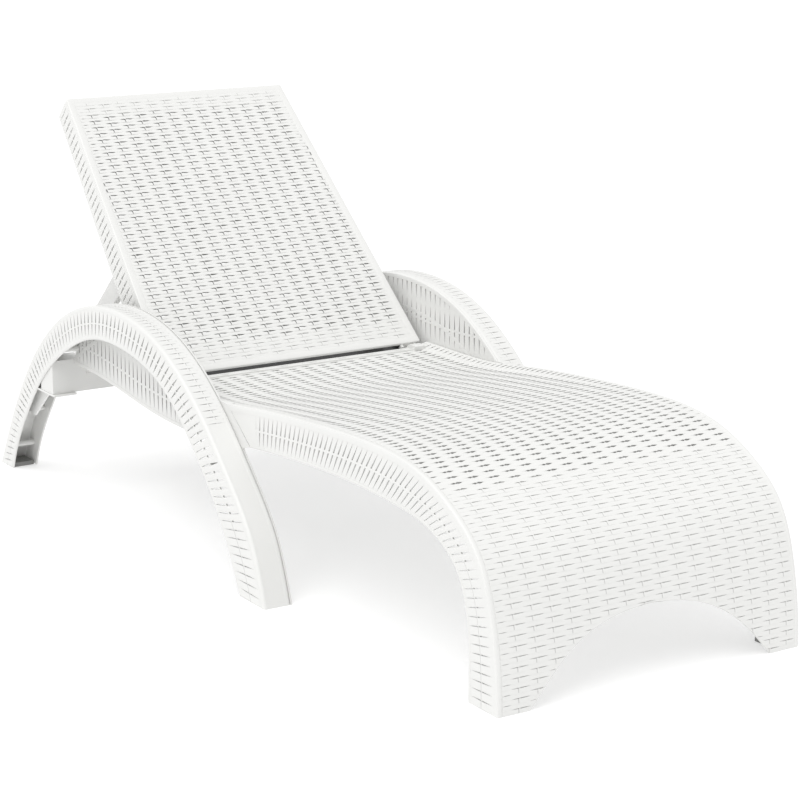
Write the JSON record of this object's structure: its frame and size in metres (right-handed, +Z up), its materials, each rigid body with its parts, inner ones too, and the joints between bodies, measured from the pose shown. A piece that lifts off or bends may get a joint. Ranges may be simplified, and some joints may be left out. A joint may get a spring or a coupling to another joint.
{
  "type": "reclining sun lounger",
  "caption": "Moulded resin sun lounger with a wicker-look surface, arched arm-and-leg mouldings, a turned-down foot and a reclining back held by a prop on notched rails.",
  "frame": {"origin": "on the ground, under the middle of the width and of the length at rest", "axes": "+Z up, +Y from the foot end to the head end, +X to the right as seen from the foot end"},
  "size_m": [0.728, 1.828, 0.7989],
  "materials": {
    "resin_weave": "satin white moulded resin with a wicker-look surface",
    "resin_smooth": "satin white moulded resin, smooth",
    "steel": "stainless steel fasteners",
    "glide_rubber": "matt grey rubber"
  },
  "bodies": {
    "base": {"arm_bolts": "steel", "arm_nuts": "steel", "arm_panel_left": "resin_weave", "arm_panel_right": "resin_weave", "arm_screws_left": "steel", "arm_screws_right": "steel", "arm_shell_left": "resin_weave", "arm_shell_right": "resin_weave", "beam_bolts": "steel", "beam_nuts": "steel", "glide_foot_left": "glide_rubber", "glide_foot_right": "glide_rubber", "glide_front_left": "glide_rubber", "glide_front_right": "glide_rubber", "glide_rear_left": "glide_rubber", "glide_rear_right": "glide_rubber", "hinge_clips": "steel", "hinge_pin_left": "steel", "hinge_pin_right": "steel", "rail_bolts": "steel", "rail_left": "resin_smooth", "rail_nuts": "steel", "rail_right": "resin_smooth", "rear_beam": "resin_smooth", "seat_deck": "resin_weave"},
    "back": {"backrest": "resin_weave", "prop_clips": "steel", "prop_pin_left": "steel", "prop_pin_right": "steel"},
    "prop": {"prop_arm_left": "resin_smooth", "prop_arm_right": "resin_smooth", "prop_bar": "steel"}
  },
  "joints": [
    {"name": "recline", "type": "hinge", "parent": "base", "child": "back", "pos_m": [0, 0.25662, 0.292], "axis": [1, 0, 0], "range_deg": [-43.7, 21.3]},
    {"name": "prop_swing", "type": "hinge", "parent": "back", "child": "prop", "pos_m": [0, 0.4948, 0.50421], "axis": [1, 0, 0], "range_deg": [-43, 88]}
  ],
  "couplings": [
    {"joint": "prop_swing", "follows": "recline", "ratio": -2}
  ]
}
